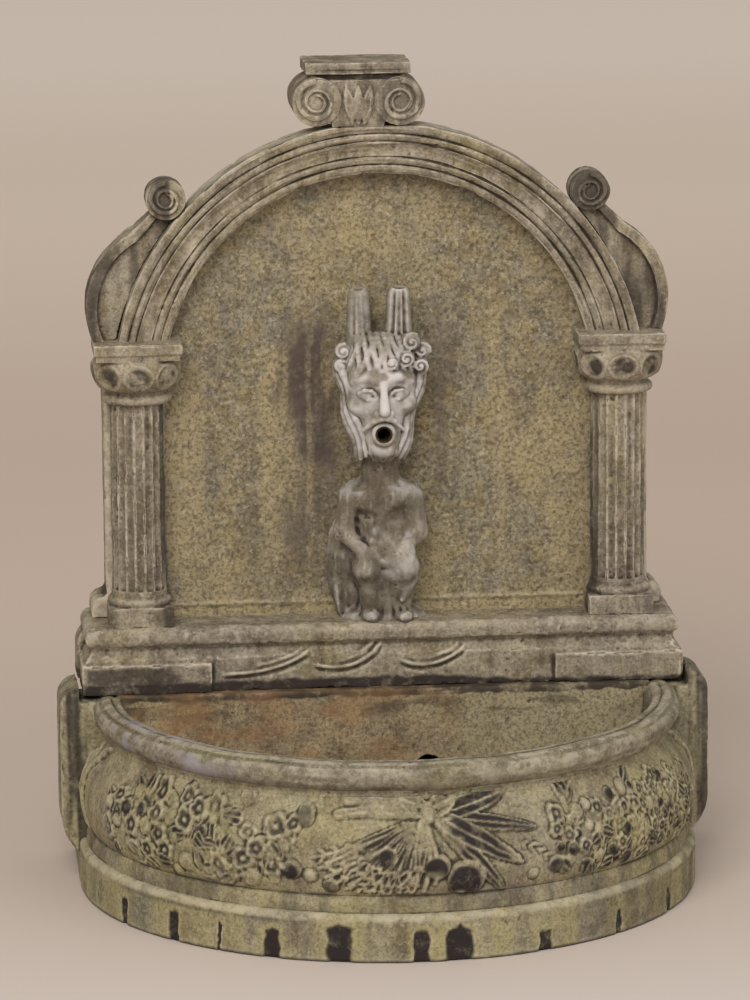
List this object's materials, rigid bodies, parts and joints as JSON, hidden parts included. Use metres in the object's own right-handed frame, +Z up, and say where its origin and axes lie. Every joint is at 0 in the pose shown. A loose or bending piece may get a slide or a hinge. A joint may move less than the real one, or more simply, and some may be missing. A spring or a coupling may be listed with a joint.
{
  "type": "tabletop fountain",
  "caption": "Tabletop fountain: a bow-fronted basin with a garland in relief, and a lift-off niche wall with columns and an arch whose horned figure spouts water from a hidden pump.",
  "frame": {"origin": "on the table, under the middle of the bounding box", "axes": "+X to the right seen from the front, the bowed front faces -Y, +Z up"},
  "size_m": [0.3, 0.203, 0.3754],
  "materials": {
    "basin_stone": "cast stone with an aged olive patina, darker in the recesses",
    "wall_stone": "cast stone with an aged ochre patina",
    "figure_stone": "cast stone, rubbed pale on the raised parts",
    "pipe_brass": "dulled",
    "tube_vinyl": "clear vinyl",
    "fitting_plastic": "moulded",
    "pump_plastic": "moulded, fine grain",
    "soft_rubber": "matte",
    "pin_ceramic": "ground"
  },
  "bodies": {
    "base": {"basin": "basin_stone", "partition": "basin_stone", "left_ear": "basin_stone", "right_ear": "basin_stone", "pump_housing": "pump_plastic", "cover_seal": "soft_rubber", "outlet_barb": "fitting_plastic", "suction_cups": "soft_rubber", "cable_gland": "fitting_plastic", "impeller_shaft": "pin_ceramic", "rear_bush": "soft_rubber"},
    "wall": {"plinth": "wall_stone", "back_slab": "wall_stone", "left_column": "wall_stone", "right_column": "wall_stone", "left_capital": "wall_stone", "right_capital": "wall_stone", "arch_moulding": "wall_stone", "left_scroll": "wall_stone", "right_scroll": "wall_stone", "crown_capital": "wall_stone", "spout_figure": "figure_stone", "spout_pipe": "pipe_brass", "spout_elbow": "fitting_plastic", "riser_tube": "tube_vinyl"},
    "cover": {"pump_cover": "pump_plastic", "front_bush": "soft_rubber"},
    "dial": {"flow_dial": "fitting_plastic"},
    "rotor": {"impeller": "pump_plastic"},
    "bung": {"cord_bung": "soft_rubber"}
  },
  "joints": [
    {"name": "wall_lift", "type": "slide", "parent": "base", "child": "wall", "axis": [0, 0, 1], "range_m": [0, 0.12]},
    {"name": "cover_pull", "type": "slide", "parent": "base", "child": "cover", "axis": [-1, 0, 0], "range_m": [0, 0.03]},
    {"name": "dial_turn", "type": "hinge", "parent": "cover", "child": "dial", "pos_m": [-0.0113, 0.075, 0.035], "axis": [1, 0, 0], "range_deg": [0, 22.5]},
    {"name": "impeller_spin", "type": "hinge", "parent": "base", "child": "rotor", "pos_m": [0.01, 0.075, 0.035], "axis": [1, 0, 0], "continuous": true},
    {"name": "bung_pull", "type": "slide", "parent": "base", "child": "bung", "axis": [0, 1, 0], "range_m": [0, 0.03]}
  ]
}
